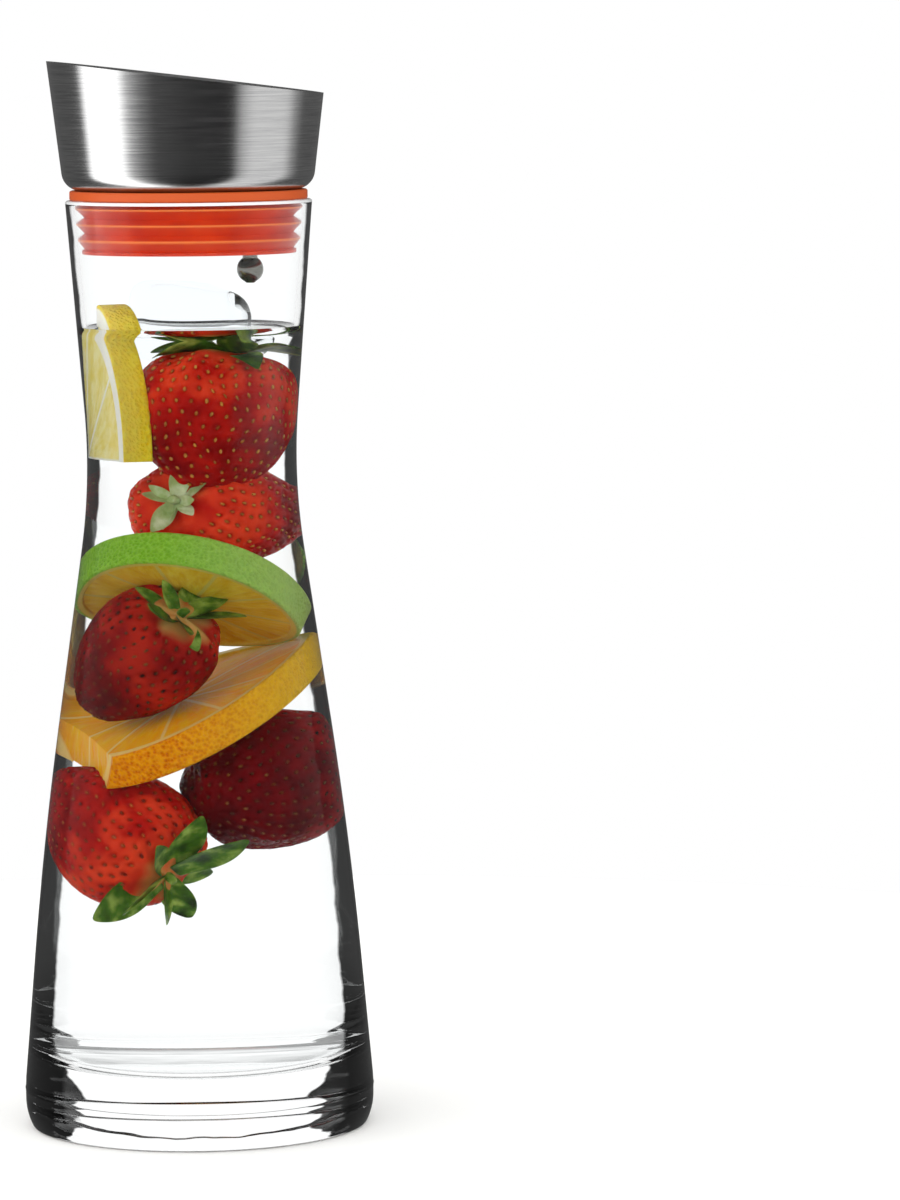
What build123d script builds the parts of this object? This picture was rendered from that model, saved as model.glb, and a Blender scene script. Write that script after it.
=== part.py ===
from build123d import *
import math
import os

# Fruit infuser pitcher: a waisted glass carafe closed by a pull-out pouring lid.
# The lid is a steel collar cut on a slant, carried on a ribbed silicone plug. Inside the collar a
# steel flap hangs on a pin above a strainer. The ball on the flap's stem hangs plumb, so it swings
# the flap open when the pitcher is tipped towards -X, the high side of the collar.
# Millimetres, +Z up, origin on the table at the middle of the foot.

# Glass carafe
FOOT_DIAMETER = 101.4
FOOT_ROUND = 8.0  # height over which the foot's side curves in
FOOT_CURVE = 17.0  # radius of that curve
FOOT_EDGE = 0.6  # round between that curve and the flat ring
FOOT_BAND = 3.0  # upright band above the curve
PUNT_INSET = 5.0  # flat ring the carafe stands on
PUNT_DEPTH = 1.2  # hollow under the foot, shallow: the photo looks clean through the base
BELLY_DIAMETER = 89.0  # where the two lower cones would meet
BELLY_HEIGHT = 81.8
BELLY_BEND = 34.0  # length softened to each side of that corner
WAIST_DIAMETER = 58.4  # where the lower cone and the neck would meet
WAIST_HEIGHT = 187.7
WAIST_BEND = 20.0
RIM_DIAMETER = 71.0
RIM_HEIGHT = 268.0
RIM_WALL = 2.3
RIM_ROUND = 0.5
WALL = 3.0  # belly and waist
FLOOR = 19.0  # thickness of the glass floor
FLOOR_WALL = 5.1  # foot's radius less the bore above the floor's corner
FLOOR_ROUND = 11.0  # inner corner of the floor

# Silicone plug
FLANGE_INSET = 1.3  # flange's edge inside the glass rim
FLANGE_THICKNESS = 2.8
FLANGE_ROUND = 0.6
PLUG_DEPTH = 15.1  # below the glass rim
PLUG_CLEARANCE = 0.25  # rib tips to the neck
PLUG_WALL = 2.6  # between the ribs
PLUG_LIP = 1.6  # turned in under the core
LIP_SWELL = 0.8  # plug's bottom edge outside the grooves
RIB_COUNT = 3
RIB_PITCH = 4.5
RIB_FIRST = 1.9  # first rib's tip below the glass rim
RIB_SHOULDER = 1.5  # height of a rib's short upper side
RIB_TIP = 0.3  # width of a rib's edge
RIB_DEPTH = 1.65  # groove's depth at the plug's narrow end

# Core tube inside the plug
CORE_WALL = 2.0
BEAD_HEIGHT = 2.0  # ring that locks the plug on the core
BEAD_DEPTH = 0.9

# Steel collar
COLLAR_SHEET = 1.0
COLLAR_OVERHANG = 1.6  # corner of the collar outside the flange
COLLAR_ANGLE = 6.9  # flare from upright, degrees
COLLAR_ROUND = 5.5  # rounded bottom edge
COLLAR_TIP = 37.1  # high side above the underside
COLLAR_BACK = 27.4  # low side above the underside

# Valve seat and strainer
SEAT_GAP = 0.6  # seat's edge to the collar's rounded corner
SEAT_SOCKET = 1.8  # how far the core enters the seat
SEAT_ROOF = 1.5
SEAT_LIP_HEIGHT = 1.2
SEAT_LIP_WIDTH = 1.5
VALVE_INSET = 3.8  # pouring opening inside the core's bore
VALVE_BACK = 5.9  # opening's straight back edge in front of the pin
STRAINER_SHEET = 0.6
STRAINER_HOLE = 3.2
STRAINER_STEP = 5.0  # between rings of holes
STRAINER_EDGE = 1.5  # plain border inside the core's bore

# Hinge, flap and counterweight
HINGE_INSET = 7.9  # pin inside the core's bore
PIN_DIAMETER = 2.0
PIN_PLAY = 0.06  # barrel on the pin, radial
BARREL_DIAMETER = 4.8
BARREL_LENGTH = 15.6
BARREL_RISE = 2.8  # pin above the flap
LUG_THICKNESS = 2.4
LUG_PLAY = 0.3  # barrel's ends and the flap's edge to the lugs
FLAP_OVERHANG = 1.5  # flap's edge outside the seat's lip
FLAP_SHEET = 1.0
FLAP_OPENS = 60.0  # degrees
STEM_DIAMETER = 4.3
STEM_PLAY = 0.5  # stem to its slot
SPIGOT_DIAMETER = 2.4  # stem's thinner ends, in the barrel and in the ball
SPIGOT_HOLD = 1.2  # how far the stem enters the barrel
BALL_DIAMETER = 7.7
BALL_DROP = 5.1  # ball's middle below the plug
RIVET_DIAMETER = 3.4  # stem's end, spread under the ball
RIVET_HEIGHT = 0.45

FIT = 0.04  # between pieces that are pushed together

# Heights and radii that follow from the sizes above
foot_radius = FOOT_DIAMETER / 2
band_top = FOOT_ROUND + FOOT_BAND
rim_radius = RIM_DIAMETER / 2
outer_stations = [
    (foot_radius, band_top),
    (BELLY_DIAMETER / 2, BELLY_HEIGHT),
    (WAIST_DIAMETER / 2, WAIST_HEIGHT),
    (rim_radius, RIM_HEIGHT),
]
inner_stations = [
    (foot_radius - FLOOR_WALL, FLOOR + FLOOR_ROUND),
    (BELLY_DIAMETER / 2 - WALL, BELLY_HEIGHT),
    (WAIST_DIAMETER / 2 - WALL, WAIST_HEIGHT),
    (rim_radius - RIM_WALL, RIM_HEIGHT),
]


def neck_bore(height):
    """Radius of the neck's straight inner cone."""
    (waist, low), (rim, high) = inner_stations[-2:]
    return waist + (rim - waist) * (height - low) / (high - low)


flange_radius = rim_radius - FLANGE_INSET
plug_bottom = RIM_HEIGHT - PLUG_DEPTH
plug_root = neck_bore(plug_bottom) - PLUG_CLEARANCE - RIB_DEPTH
plug_bore = plug_root - PLUG_WALL
core_radius = plug_bore - FIT
core_bore = core_radius - CORE_WALL
core_bottom = plug_bottom + PLUG_LIP + FIT
bead_low = (core_bottom + RIM_HEIGHT - BEAD_HEIGHT) / 2
bead_high = bead_low + BEAD_HEIGHT
collar_bottom = RIM_HEIGHT + FLANGE_THICKNESS
collar_floor = collar_bottom + COLLAR_SHEET
collar_corner = flange_radius + COLLAR_OVERHANG
flare = math.radians(COLLAR_ANGLE)
collar_side = COLLAR_SHEET / math.cos(flare)  # sheet measured level across the cone
corner_turn = (math.pi / 2 - flare) / 2


def cone_radius(height):
    """Outside of the collar's cone at one height."""
    return collar_corner + (height - collar_bottom) * math.tan(flare)


inner_corner = cone_radius(collar_floor) - collar_side
seat_radius = inner_corner - (COLLAR_ROUND - COLLAR_SHEET) * math.tan(corner_turn) - SEAT_GAP
core_top = collar_floor + SEAT_SOCKET
strainer_top = core_top + STRAINER_SHEET
seat_roof_top = strainer_top + FIT + SEAT_ROOF
seat_top = seat_roof_top + SEAT_LIP_HEIGHT
flap_top = seat_top + FLAP_SHEET
hinge_x = core_bore - HINGE_INSET
hinge_height = flap_top + BARREL_RISE
barrel_radius = BARREL_DIAMETER / 2
valve_radius = core_bore - VALVE_INSET
valve_chord = hinge_x - VALVE_BACK
flap_radius = valve_radius + SEAT_LIP_WIDTH + FLAP_OVERHANG
flap_chord = hinge_x - barrel_radius - LUG_PLAY
lug_inner = BARREL_LENGTH / 2 + LUG_PLAY
lug_outer = lug_inner + LUG_THICKNESS
stem_radius = STEM_DIAMETER / 2
slot_half = stem_radius + STEM_PLAY
slot_back = hinge_x + slot_half
ball_radius = BALL_DIAMETER / 2
ball_height = plug_bottom - BALL_DROP
ball_top = ball_height + math.sqrt(ball_radius**2 - stem_radius**2)
ball_bottom = ball_height - math.sqrt(ball_radius**2 - (RIVET_DIAMETER / 2) ** 2)


def lathe(edges):
    """Closed outline of radius and height, turned about the upright axis."""
    face = make_face(Curve() + edges)
    return revolve(Plane.XZ * face, Axis.Z)


def lathe_points(points):
    """Straight-sided outline of radius and height, turned about the upright axis."""
    return lathe([Line(a, b) for a, b in zip(points, points[1:] + points[:1])])


def quarter_arc(middle, radius, low, high):
    """Arc about a middle from one direction to another, in degrees from level."""
    at = [math.radians(turn) for turn in (low, (low + high) / 2, high)]
    points = [(middle[0] + radius * math.cos(a), middle[1] + radius * math.sin(a)) for a in at]
    return ThreePointArc(*points)


def wall_edges(stations):
    """Straight cones from the foot to the rim, softened where they meet."""
    edges = []
    start = Vector(*stations[0])
    for i, bend in ((1, BELLY_BEND), (2, WAIST_BEND)):
        corner = Vector(*stations[i])
        after = Vector(*stations[i + 1])
        bend_start = corner - (corner - start).normalized() * bend
        bend_end = corner + (after - corner).normalized() * bend
        edges += [Line(start, bend_start), Bezier(bend_start, corner, bend_end)]
        start = bend_end
    return edges + [Line(start, stations[-1])]


def upright(profile, low, high):
    """Flat outline seen from above, carried from one height to another."""
    return extrude(Pos(0, 0, low) * profile, high - low)


def rod_across(diameter, length):
    """Round bar along the hinge line."""
    bar = Cylinder(diameter / 2, length, rotation=(90, 0, 0))
    return Pos(hinge_x, 0, hinge_height) * bar


def half_moon(radius, chord):
    """Disc seen from above with its back cut straight across."""
    back = Pos(chord + radius, 0) * Rectangle(2 * radius, 2 * radius)
    return Circle(radius) - back


def stem_slot(front):
    """Slot along the pouring direction that the stem swings in."""
    middle = (front + slot_back) / 2
    return Pos(middle, 0) * Rectangle(slot_back - front, 2 * slot_half)


def glass_carafe():
    """Blown glass body with a heavy foot, a hollow under it and a fire-polished rim."""
    foot_middle = (foot_radius - FOOT_CURVE, FOOT_ROUND)
    foot_turn = math.degrees(math.asin(FOOT_ROUND / FOOT_CURVE))
    foot_flat = foot_middle[0] + math.sqrt(FOOT_CURVE**2 - FOOT_ROUND**2)
    floor_middle = (inner_stations[0][0] - FLOOR_ROUND, FLOOR + FLOOR_ROUND)
    punt_radius = foot_flat - PUNT_INSET
    punt_sphere = (punt_radius**2 + PUNT_DEPTH**2) / (2 * PUNT_DEPTH)
    punt_half = math.degrees(math.asin(punt_radius / punt_sphere))
    outline = [
        quarter_arc((0, PUNT_DEPTH - punt_sphere), punt_sphere, 90, 90 - punt_half),
        Line((punt_radius, 0), (foot_flat, 0)),
        quarter_arc(foot_middle, FOOT_CURVE, -foot_turn, 0),
        Line((foot_radius, FOOT_ROUND), outer_stations[0]),
        Line(outer_stations[-1], inner_stations[-1]),
        quarter_arc(floor_middle, FLOOR_ROUND, 0, -90),
        Line((floor_middle[0], FLOOR), (0, FLOOR)),
        Line((0, FLOOR), (0, PUNT_DEPTH)),
    ]
    glass = lathe(outline + wall_edges(outer_stations) + wall_edges(inner_stations))
    foot_edges = glass.edges().filter_by_position(Axis.Z, -FIT, FIT).filter_by(GeomType.CIRCLE)
    glass = fillet(foot_edges.sort_by(SortBy.RADIUS)[-1], FOOT_EDGE)
    rim_edges = glass.edges().filter_by_position(Axis.Z, RIM_HEIGHT - FIT, RIM_HEIGHT + FIT)
    return fillet(rim_edges.filter_by(GeomType.CIRCLE), RIM_ROUND)


def silicone_plug():
    """Ribbed sleeve that grips the neck, with a flange on the rim and a lip under the core."""
    points = [(plug_bore, collar_bottom), (flange_radius, collar_bottom)]
    points += [(flange_radius, RIM_HEIGHT), (plug_root, RIM_HEIGHT)]
    for i in range(RIB_COUNT):
        tip_height = RIM_HEIGHT - RIB_FIRST - i * RIB_PITCH
        tip = neck_bore(tip_height - RIB_TIP) - PLUG_CLEARANCE
        points += [(plug_root, tip_height + RIB_SHOULDER)]
        points += [(tip, tip_height), (tip, tip_height - RIB_TIP)]
    last_groove = RIM_HEIGHT - RIB_FIRST + RIB_SHOULDER - RIB_COUNT * RIB_PITCH
    swell = min(LIP_SWELL, last_groove - plug_bottom)
    points += [(plug_root, last_groove), (plug_root + swell, last_groove - swell / 2)]
    points += [(plug_root + swell, plug_bottom), (core_bore, plug_bottom)]
    points += [(core_bore, plug_bottom + PLUG_LIP), (plug_bore, plug_bottom + PLUG_LIP)]
    points += [(plug_bore, bead_low - FIT), (plug_bore + BEAD_DEPTH, bead_low + BEAD_DEPTH / 2)]
    points += [(plug_bore + BEAD_DEPTH, bead_high - BEAD_DEPTH / 2), (plug_bore, bead_high + FIT)]
    plug = lathe_points(points)
    flange_edges = plug.edges().filter_by(GeomType.CIRCLE).sort_by(SortBy.RADIUS)[-2:]
    return fillet(flange_edges, FLANGE_ROUND)


def plug_core():
    """Stiff tube inside the plug. It passes up through the collar's floor into the seat."""
    bead = core_radius + BEAD_DEPTH
    points = [(core_bore, core_bottom), (core_radius, core_bottom), (core_radius, bead_low)]
    points += [(bead, bead_low + BEAD_DEPTH / 2), (bead, bead_high - BEAD_DEPTH / 2)]
    points += [(core_radius, bead_high), (core_radius, core_top), (core_bore, core_top)]
    return lathe_points(points)


def steel_collar():
    """Drawn steel cup with a holed floor, a rounded bottom edge and a slanted pouring rim."""
    hole = core_radius + FIT
    blank_top = collar_bottom + COLLAR_TIP + COLLAR_BACK
    outside = FilletPolyline(
        (hole, collar_bottom),
        (collar_corner, collar_bottom),
        (cone_radius(blank_top), blank_top),
        radius=COLLAR_ROUND,
    )
    inside = FilletPolyline(
        (hole, collar_floor),
        (inner_corner, collar_floor),
        (cone_radius(blank_top) - collar_side, blank_top),
        radius=COLLAR_ROUND - COLLAR_SHEET,
    )
    ends = [Line(outside @ 0, inside @ 0), Line(outside @ 1, inside @ 1)]
    cup = lathe([outside, inside] + ends)
    tip_x = -cone_radius(collar_bottom + COLLAR_TIP)
    back_x = cone_radius(collar_bottom + COLLAR_BACK)
    slope = math.atan2(COLLAR_TIP - COLLAR_BACK, back_x - tip_x)
    slant = Plane(
        origin=(tip_x, 0, collar_bottom + COLLAR_TIP),
        x_dir=(0, 1, 0),
        z_dir=(math.sin(slope), 0, math.cos(slope)),
    )
    return split(cup, bisect_by=slant, keep=Keep.BOTTOM)


def valve_seat():
    """Ring on the collar's floor with a raised lip round the pouring opening and the hinge lugs."""
    lip = half_moon(valve_radius + SEAT_LIP_WIDTH, valve_chord + SEAT_LIP_WIDTH)
    lug_middle = (lug_inner + lug_outer) / 2
    seat = upright(Circle(seat_radius), collar_floor, seat_roof_top)
    seat += upright(lip, seat_roof_top, seat_top)
    for side in (-1, 1):
        lug_foot = Pos(hinge_x, side * lug_middle) * Rectangle(BARREL_DIAMETER, LUG_THICKNESS)
        eye = Cylinder(barrel_radius, LUG_THICKNESS, rotation=(90, 0, 0))
        seat += upright(lug_foot, seat_roof_top, hinge_height)
        seat += Pos(hinge_x, side * lug_middle, hinge_height) * eye
    seat -= upright(Circle(core_radius + FIT), collar_floor, strainer_top + FIT)
    seat -= upright(half_moon(valve_radius, valve_chord), collar_floor, seat_top)
    seat -= upright(stem_slot(valve_chord - STEM_PLAY), collar_floor, seat_top)
    return seat - rod_across(PIN_DIAMETER + 2 * FIT, 2 * lug_outer)


def strainer_disc():
    """Perforated disc between the core and the seat, slotted for the stem."""
    swing = math.radians(FLAP_OPENS)
    reach = (hinge_height - core_top) * math.tan(swing) + stem_radius / math.cos(swing)
    front = hinge_x - reach - STEM_PLAY
    outline = Circle(core_radius) - stem_slot(front)
    keep_clear = STRAINER_HOLE / 2 + STRAINER_EDGE
    rings = int((core_bore - keep_clear) / STRAINER_STEP)
    for ring in range(1, rings + 1):
        for turn in range(6 * ring):
            angle = math.radians(60 * turn / ring)
            x = ring * STRAINER_STEP * math.cos(angle)
            y = ring * STRAINER_STEP * math.sin(angle)
            if abs(y) > slot_half + keep_clear or x < front - keep_clear:
                outline -= Pos(x, y) * Circle(STRAINER_HOLE / 2)
    return upright(outline, core_top, strainer_top)


def flap_disc():
    """Sheet steel flap: a disc cut off behind, with a tab under the hinge barrel."""
    tab_length = barrel_radius + hinge_x - flap_chord + FLAP_SHEET
    tab_middle = hinge_x + barrel_radius - tab_length / 2
    sheet = half_moon(flap_radius, flap_chord)
    sheet += Pos(tab_middle, 0) * Rectangle(tab_length, BARREL_LENGTH)
    sheet -= Pos(hinge_x, 0) * Circle(SPIGOT_DIAMETER / 2 + FIT)
    return upright(sheet, seat_top, flap_top)


def hinge_barrel():
    """Block on the flap that turns on the pin. The stem's end is screwed into it from below."""
    foot = Pos(hinge_x, 0) * Rectangle(BARREL_DIAMETER, BARREL_LENGTH)
    block = upright(foot, flap_top, hinge_height) + rod_across(BARREL_DIAMETER, BARREL_LENGTH)
    block -= rod_across(PIN_DIAMETER + 2 * PIN_PLAY, BARREL_LENGTH)
    socket = Pos(hinge_x, 0) * Circle(SPIGOT_DIAMETER / 2 + FIT)
    return block - upright(socket, flap_top, flap_top + SPIGOT_HOLD + FIT)


def hinge_pin():
    """Pin pressed into the two lugs."""
    return rod_across(PIN_DIAMETER, 2 * lug_outer)


def counterweight_stem():
    """Turned rod from the flap to the ball, riveted over under the ball."""
    rod = upright(Circle(stem_radius), ball_top, seat_top)
    rod += upright(Circle(SPIGOT_DIAMETER / 2), ball_bottom, flap_top + SPIGOT_HOLD)
    rivet = Cone(SPIGOT_DIAMETER / 2, RIVET_DIAMETER / 2, RIVET_HEIGHT)
    rod += Pos(0, 0, ball_bottom - RIVET_HEIGHT / 2) * rivet
    return Pos(hinge_x, 0, 0) * rod


def counterweight_ball():
    """Drilled ball, flat where the stem's shoulder and the rivet bear on it."""
    ball = Pos(0, 0, ball_height) * Sphere(ball_radius)
    ball &= upright(Circle(ball_radius), ball_bottom, ball_top)
    ball -= upright(Circle(SPIGOT_DIAMETER / 2 + FIT), ball_bottom, ball_top)
    return Pos(hinge_x, 0, 0) * ball


PIECES = {
    "glass_carafe": glass_carafe,
    "silicone_plug": silicone_plug,
    "plug_core": plug_core,
    "steel_collar": steel_collar,
    "valve_seat": valve_seat,
    "strainer_disc": strainer_disc,
    "flap_disc": flap_disc,
    "hinge_barrel": hinge_barrel,
    "hinge_pin": hinge_pin,
    "counterweight_stem": counterweight_stem,
    "counterweight_ball": counterweight_ball,
}

os.makedirs("parts", exist_ok=True)
for name, make in PIECES.items():
    export_step(make(), f"parts/{name}.step")
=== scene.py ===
import bpy
import math
from mathutils import Euler, Matrix, Vector
from mathutils.kdtree import KDTree


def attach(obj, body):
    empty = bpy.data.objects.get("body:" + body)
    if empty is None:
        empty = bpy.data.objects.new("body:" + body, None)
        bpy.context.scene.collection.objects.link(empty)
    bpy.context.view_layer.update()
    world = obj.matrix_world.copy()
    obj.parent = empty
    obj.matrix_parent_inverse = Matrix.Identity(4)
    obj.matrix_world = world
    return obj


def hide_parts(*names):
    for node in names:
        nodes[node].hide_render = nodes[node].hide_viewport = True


# Fruit infuser pitcher: a waisted glass carafe with a slanted steel pouring lid, filled with iced
# water, strawberries and citrus slices. Sizes in this script are millimetres unless a name says otherwise.

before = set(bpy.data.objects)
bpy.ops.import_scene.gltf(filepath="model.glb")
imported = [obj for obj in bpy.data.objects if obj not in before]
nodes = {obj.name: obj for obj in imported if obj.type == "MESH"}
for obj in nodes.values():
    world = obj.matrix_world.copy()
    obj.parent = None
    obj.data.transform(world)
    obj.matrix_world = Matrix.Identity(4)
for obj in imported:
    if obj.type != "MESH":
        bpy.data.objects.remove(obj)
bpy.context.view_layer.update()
MM = 0.001

# Glass carafe, the sizes of the CAD part
FOOT = 50.7
FOOT_ROUND = 8.0
FOOT_CURVE = 17.0
FOOT_FLAT = 48.7
BAND_TOP = 11.0
PUNT = 43.7
PUNT_DEPTH = 1.2
FLOOR = 19.0
FLOOR_ROUND = 11.0
RIM_HEIGHT = 268.0
RIM_ROUND = 0.9  # rounder than the CAD part's, as a flame leaves it
# Radius and height of the walls' bends, from the foot to the rim
OUTER = ((50.7, 11.0), (44.5, 81.8), (29.2, 187.7), (35.5, 268.0))
INNER = ((45.6, 30.0), (41.5, 81.8), (26.2, 187.7), (33.2, 268.0))
BENDS = (34.0, 20.0)

# Filling
WATER_LEVEL = 231.0
MENISCUS = 0.9
MENISCUS_REACH = 1.1
WATER_LAP = 0.2  # water drawn a little into the glass, so that light bends as from glass into water
CLEARANCE = 0.6  # between the glass and a fruit or the ice
SEED_CLEARANCE = 0.4
LEAF_CLEARANCE = 0.5

# Strawberries
BERRY_TAPER = 0.55
BERRY_SHOULDER = 0.32
BERRY_PEAK = 0.5637  # about what the curve of taper and shoulder reaches where a berry is widest
BULGE = 14.0  # scale of a berry's slow bulges
SEED_HALF_SIZE = (0.4, 0.48, 0.74)
SEED_PITCH = 3.8
SEED_ROW_PITCH = 0.86 * SEED_PITCH
SEED_SUNK = 0.5
FIRST_SEEDS = 0.06  # on the way from the leaves (0) to the tip (1)
LAST_SEEDS = 0.985
PIT_DEPTH = 0.95
PIT_WIDTH = 1.1
LEAF_COUNT = 8
LEAF_THICKNESS = 0.35
LEAF_DEPTH = 1.5  # under the water's skin
# Length, widening and rise of each stretch of a leaf, from the stalk outwards
LEAF_STRETCHES = ((3.0, 1.4, 0.4), (3.4, 1.2, 0.9), (3.6, 0.9, 1.2), (3.4, 0.62, 1.0), (2.6, 0.2, 0.6))

# Citrus and ice
PEEL_ROUND = 0.9
ICE_WAVE = 9.0  # scale of the swells that melting leaves

# Camera, at the photograph's angle and frame, angles in degrees
CAMERA_PITCH = 5.56
CAMERA_YAW = 2.457
CAMERA_ROLL = -0.494
CAMERA_PLACE = (0.0, -1728.0, 319.8)
LENS = 180.0
SENSOR = 36.0

# Stage
PAPER_RADIUS = 500.0
PAPER_DROP = 0.3
SLAT_DISTANCE = 0.5
# Height, and how far askew light may run there and still pass the slats: least in the foot, most in the neck
SLAT_GAPS = (
    (0, 0.64), (6, 0.71), (14, 0.71), (18, 0.82), (36, 0.825), (120, 0.84), (226, 0.86), (232, 0.935),
    (268, 0.935),
)
# Degrees from the camera's side, right positive, and how bright the mirrored studio is there, up to 1
STUDIO_RING = (
    (-180, 0.04), (-104, 0.04), (-98, 1.0), (-62, 1.0), (-54, 0.3), (-42, 0.1), (-30, 0.015), (2, 0.0),
    (8, 0.0), (41, 0.0), (49, 0.28), (60, 0.43), (96, 0.42), (106, 0.18), (118, 0.05), (180, 0.04),
)
RING_LIGHT = 2.5
WALL_LIGHT = 0.12
CEILING_LIGHT = 1.2
KEY_FROM = (-0.62, -0.62, 0.48)
KEY_LIGHT = 2.5
FILL_FROM = (0.83, -0.5, 0.25)
FILL_LIGHT = 0.75
DOME_LIGHT = 0.85


# Plain modelling steps

def clear_selection():
    """Nothing selected, in object mode."""
    if bpy.context.object and bpy.context.object.mode != "OBJECT":
        bpy.ops.object.mode_set(mode="OBJECT")
    bpy.ops.object.select_all(action="DESELECT")


def named(name):
    """Gives the object that was just added, and its mesh, a plain name."""
    piece = bpy.context.object
    piece.name = name
    piece.data.name = name
    return piece


def edit_all():
    """Edit mode with everything selected, by points."""
    bpy.ops.object.mode_set(mode="EDIT")
    bpy.ops.mesh.select_mode(type="VERT")
    bpy.ops.mesh.select_all(action="SELECT")


def pick(piece, test):
    """Selects the faces whose centre and normal pass the test, in edit mode."""
    bpy.ops.object.mode_set(mode="OBJECT")
    for vertex in piece.data.vertices:
        vertex.select = False
    for edge in piece.data.edges:
        edge.select = False
    for face in piece.data.polygons:
        face.select = test(face.center / MM, face.normal)
    bpy.ops.object.mode_set(mode="EDIT")
    bpy.ops.mesh.select_mode(type="FACE")


def tidy_mesh():
    """Merges doubled points, turns the faces outwards and leaves edit mode."""
    bpy.ops.mesh.select_all(action="SELECT")
    bpy.ops.mesh.remove_doubles(threshold=0.005 * MM)
    bpy.ops.mesh.normals_make_consistent(inside=False)
    bpy.ops.object.mode_set(mode="OBJECT")


def apply_modifier(piece, kind, **settings):
    """Adds a modifier, sets it and applies it."""
    modifier = piece.modifiers.new(kind.lower(), kind)
    for name, value in settings.items():
        setattr(modifier, name, value)
    bpy.ops.object.modifier_apply(modifier=modifier.name)


def turned(name, outline, steps=192):
    """Draws an outline of radius and height point by point and spins it about the upright axis."""
    clear_selection()
    bpy.ops.mesh.primitive_plane_add(size=MM)
    piece = named(name)
    edit_all()
    bpy.ops.mesh.merge(type="CENTER")
    bpy.ops.transform.translate(value=(outline[0][0] * MM, 0, outline[0][1] * MM))
    for (r0, z0), (r1, z1) in zip(outline, outline[1:]):
        step = ((r1 - r0) * MM, 0, (z1 - z0) * MM)
        bpy.ops.mesh.extrude_vertices_move(TRANSFORM_OT_translate={"value": step})
    bpy.ops.mesh.select_all(action="SELECT")
    bpy.ops.mesh.spin(steps=steps, angle=math.tau, center=(0, 0, 0), axis=(0, 0, 1))
    tidy_mesh()
    bpy.ops.object.shade_smooth()
    return piece


def placed(piece, at, turn=(0, 0, 0)):
    """Turns a piece, moves it to its place in millimetres and writes both into its mesh."""
    clear_selection()
    piece.select_set(True)
    bpy.context.view_layer.objects.active = piece
    piece.rotation_euler = [math.radians(a) for a in turn]
    piece.location = [c * MM for c in at]
    bpy.ops.object.transform_apply(location=True, rotation=True, scale=True)


def joined(name, pieces):
    """Makes one piece of several."""
    clear_selection()
    for piece in pieces:
        piece.select_set(True)
    bpy.context.view_layer.objects.active = pieces[0]
    bpy.ops.object.join()
    return named(name)


def arc(middle, radius, start, end, steps):
    """Points on an arc, angles in degrees from level."""
    turns = [math.radians(start + (end - start) * i / steps) for i in range(steps + 1)]
    return [(middle[0] + radius * math.cos(a), middle[1] + radius * math.sin(a)) for a in turns]


def wall_points(stations, low, high, step=3.0):
    """Points up the carafe's wall: straight cones with softened bends, as in the CAD part."""
    points = []
    start = Vector(stations[0])
    for corner, after, bend in zip(stations[1:], stations[2:], BENDS):
        corner, after = Vector(corner), Vector(after)
        first = corner - (corner - start).normalized() * bend
        last = corner + (after - corner).normalized() * bend
        points.append(start)
        for i in range(25):
            t = i / 24
            points.append(first * (1 - t) ** 2 + corner * 2 * t * (1 - t) + last * t * t)
        start = last
    points.append(Vector(stations[-1]))
    steps = round((high - low) / step)
    wall = []
    for i in range(steps + 1):
        z = low + (high - low) * i / steps
        for a, b in zip(points, points[1:]):
            if a.y <= z <= b.y and b.y > a.y:
                wall.append((a.x + (b.x - a.x) * (z - a.y) / (b.y - a.y), z))
                break
    return wall


def kept_inside(piece, gap):
    """Presses a fruit back from the glass wherever it would touch it."""
    for vertex in piece.data.vertices:
        x, y, z = vertex.co / MM
        level = min(max(round(z - INNER_WALL[0][1]), 0), len(INNER_WALL) - 1)
        room = INNER_WALL[level][0] - gap
        out = math.hypot(x, y)
        if out > room:
            vertex.co.x *= room / out
            vertex.co.y *= room / out


# Material steps

def colour(hex_code):
    """sRGB hex code as a linear colour."""
    parts = [int(hex_code[i:i + 2], 16) / 255 for i in (1, 3, 5)]
    return [c / 12.92 if c <= 0.04045 else ((c + 0.055) / 1.055) ** 2.4 for c in parts] + [1.0]


def add(tree, kind, inputs=None, stops=(), **settings):
    """Adds a node, sets its options and a ramp's stops, and sets or links its inputs.

    A Mix of colours has inputs 6 and 7 and output 2, and a Mix of numbers inputs 2 and 3 and output 0.
    """
    made = tree.nodes.new(kind)
    for name, value in settings.items():
        setattr(made, name, value)
    for name, value in (inputs or {}).items():
        if isinstance(value, bpy.types.NodeSocket):
            tree.links.new(value, made.inputs[name])
        else:
            made.inputs[name].default_value = value
    for i, (place, shade) in enumerate(stops):
        elements = made.color_ramp.elements
        element = elements[i] if i < len(elements) else elements.new(place)
        element.position = place
        element.color = shade
    return made


def surface(name, **values):
    """A new material with one Principled shader and its plain values."""
    material = bpy.data.materials.new(name)
    material.use_nodes = True
    shader = material.node_tree.nodes["Principled BSDF"]
    for key, value in values.items():
        shader.inputs[key.replace("_", " ").title().replace("Ior", "IOR")].default_value = value
    return material, material.node_tree, shader


def dress(piece, material):
    """One material on the whole piece."""
    piece.data.materials.clear()
    piece.data.materials.append(material)


def soda_lime_glass(name, mirror, wave, depth):
    """Blown soda-lime glass: clear, glossy, rippled by its mould. Mirror is the tint of what it reflects."""
    material, tree, shader = surface(
        name, base_color=colour("#FEFFFF"), roughness=0.0, ior=1.5, transmission_weight=1.0,
        specular_tint=colour(mirror),
    )
    place = add(tree, "ShaderNodeTexCoord").outputs["Object"]
    ripple = add(tree, "ShaderNodeTexNoise", {"Vector": place, "Scale": 1 / (wave * MM), "Detail": 1.0})
    bump = add(
        tree, "ShaderNodeBump",
        {"Height": ripple.outputs["Fac"], "Strength": 0.25, "Distance": depth * MM},
    )
    tree.links.new(bump.outputs["Normal"], shader.inputs["Normal"])
    return material


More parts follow.
